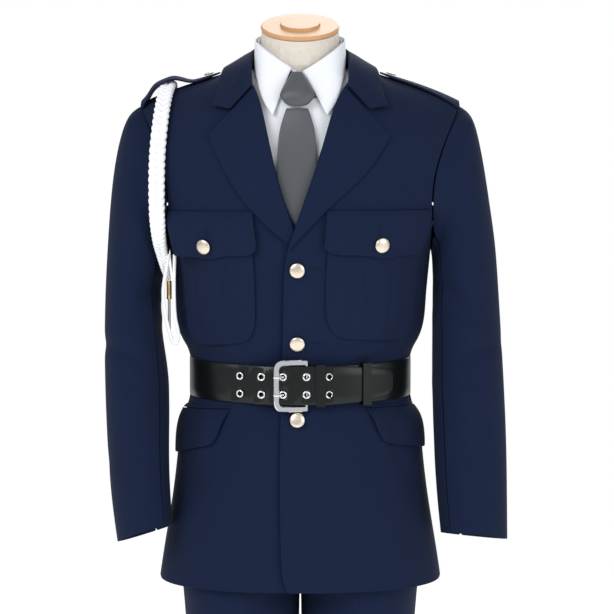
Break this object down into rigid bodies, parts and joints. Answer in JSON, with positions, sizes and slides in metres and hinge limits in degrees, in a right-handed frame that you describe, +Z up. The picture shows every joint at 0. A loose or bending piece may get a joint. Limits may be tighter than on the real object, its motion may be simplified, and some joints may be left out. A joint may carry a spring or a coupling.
{
  "type": "security guard uniform on a limbless dress form",
  "caption": "Navy guard coat with belt, white plaited lanyard, shirt, tie and trousers on a torso dress form with a round stand",
  "frame": {"origin": "the middle of the stand's underside, on the floor", "axes": "+Z up, +X the wearer's left, the front faces -Y"},
  "size_m": [0.5304, 0.34, 1.4933],
  "materials": {
    "navy_cloth": "matt wool twill",
    "white_cloth": "plain cotton",
    "tie_cloth": "satin weave",
    "white_cord": "plaited cord",
    "belt_leather": "smooth black",
    "chrome": "polished",
    "button_metal": "pale satin metal",
    "brass": "satin",
    "form_linen": "linen cover",
    "form_wood": "satin varnish",
    "stand_metal": "satin"
  },
  "bodies": {
    "root": {"belt_keeper_fixed": "belt_leather", "belt_keeper_loose": "belt_leather", "belt_strap": "belt_leather", "breast_button_left": "button_metal", "breast_button_right": "button_metal", "breast_flap_left": "navy_cloth", "breast_flap_right": "navy_cloth", "breast_pocket_left": "navy_cloth", "breast_pocket_right": "navy_cloth", "buckle_frame": "chrome", "buckle_prong_lower": "chrome", "buckle_prong_upper": "chrome", "coat_back_left": "navy_cloth", "coat_back_right": "navy_cloth", "coat_front_left": "navy_cloth", "coat_front_right": "navy_cloth", "collar": "navy_cloth", "epaulette_button_left": "button_metal", "epaulette_button_right": "button_metal", "epaulette_left": "navy_cloth", "epaulette_right": "navy_cloth", "form_cap": "form_wood", "form_torso": "form_linen", "front_button_1": "button_metal", "front_button_2": "button_metal", "front_button_3": "button_metal", "lanyard_clip": "chrome", "lanyard_cord": "white_cord", "lanyard_ferrule": "brass", "lanyard_plait": "white_cord", "lapel_left": "navy_cloth", "lapel_right": "navy_cloth", "lower_flap_left": "navy_cloth", "lower_flap_right": "navy_cloth", "lower_welt_left": "navy_cloth", "lower_welt_right": "navy_cloth", "shirt_back": "white_cloth", "shirt_collar_leaf": "white_cloth", "shirt_collar_stand": "white_cloth", "shirt_front_left": "white_cloth", "shirt_front_right": "white_cloth", "sleeve_top_left": "navy_cloth", "sleeve_top_right": "navy_cloth", "sleeve_under_left": "navy_cloth", "sleeve_under_right": "navy_cloth", "stand_base": "stand_metal", "stand_pole": "stand_metal", "tie_blade": "tie_cloth", "tie_knot": "tie_cloth", "tie_neck_band": "tie_cloth", "trouser_back_left": "navy_cloth", "trouser_back_right": "navy_cloth", "trouser_front_left": "navy_cloth", "trouser_front_right": "navy_cloth", "trouser_waistband": "navy_cloth"}
  },
  "joints": []
}
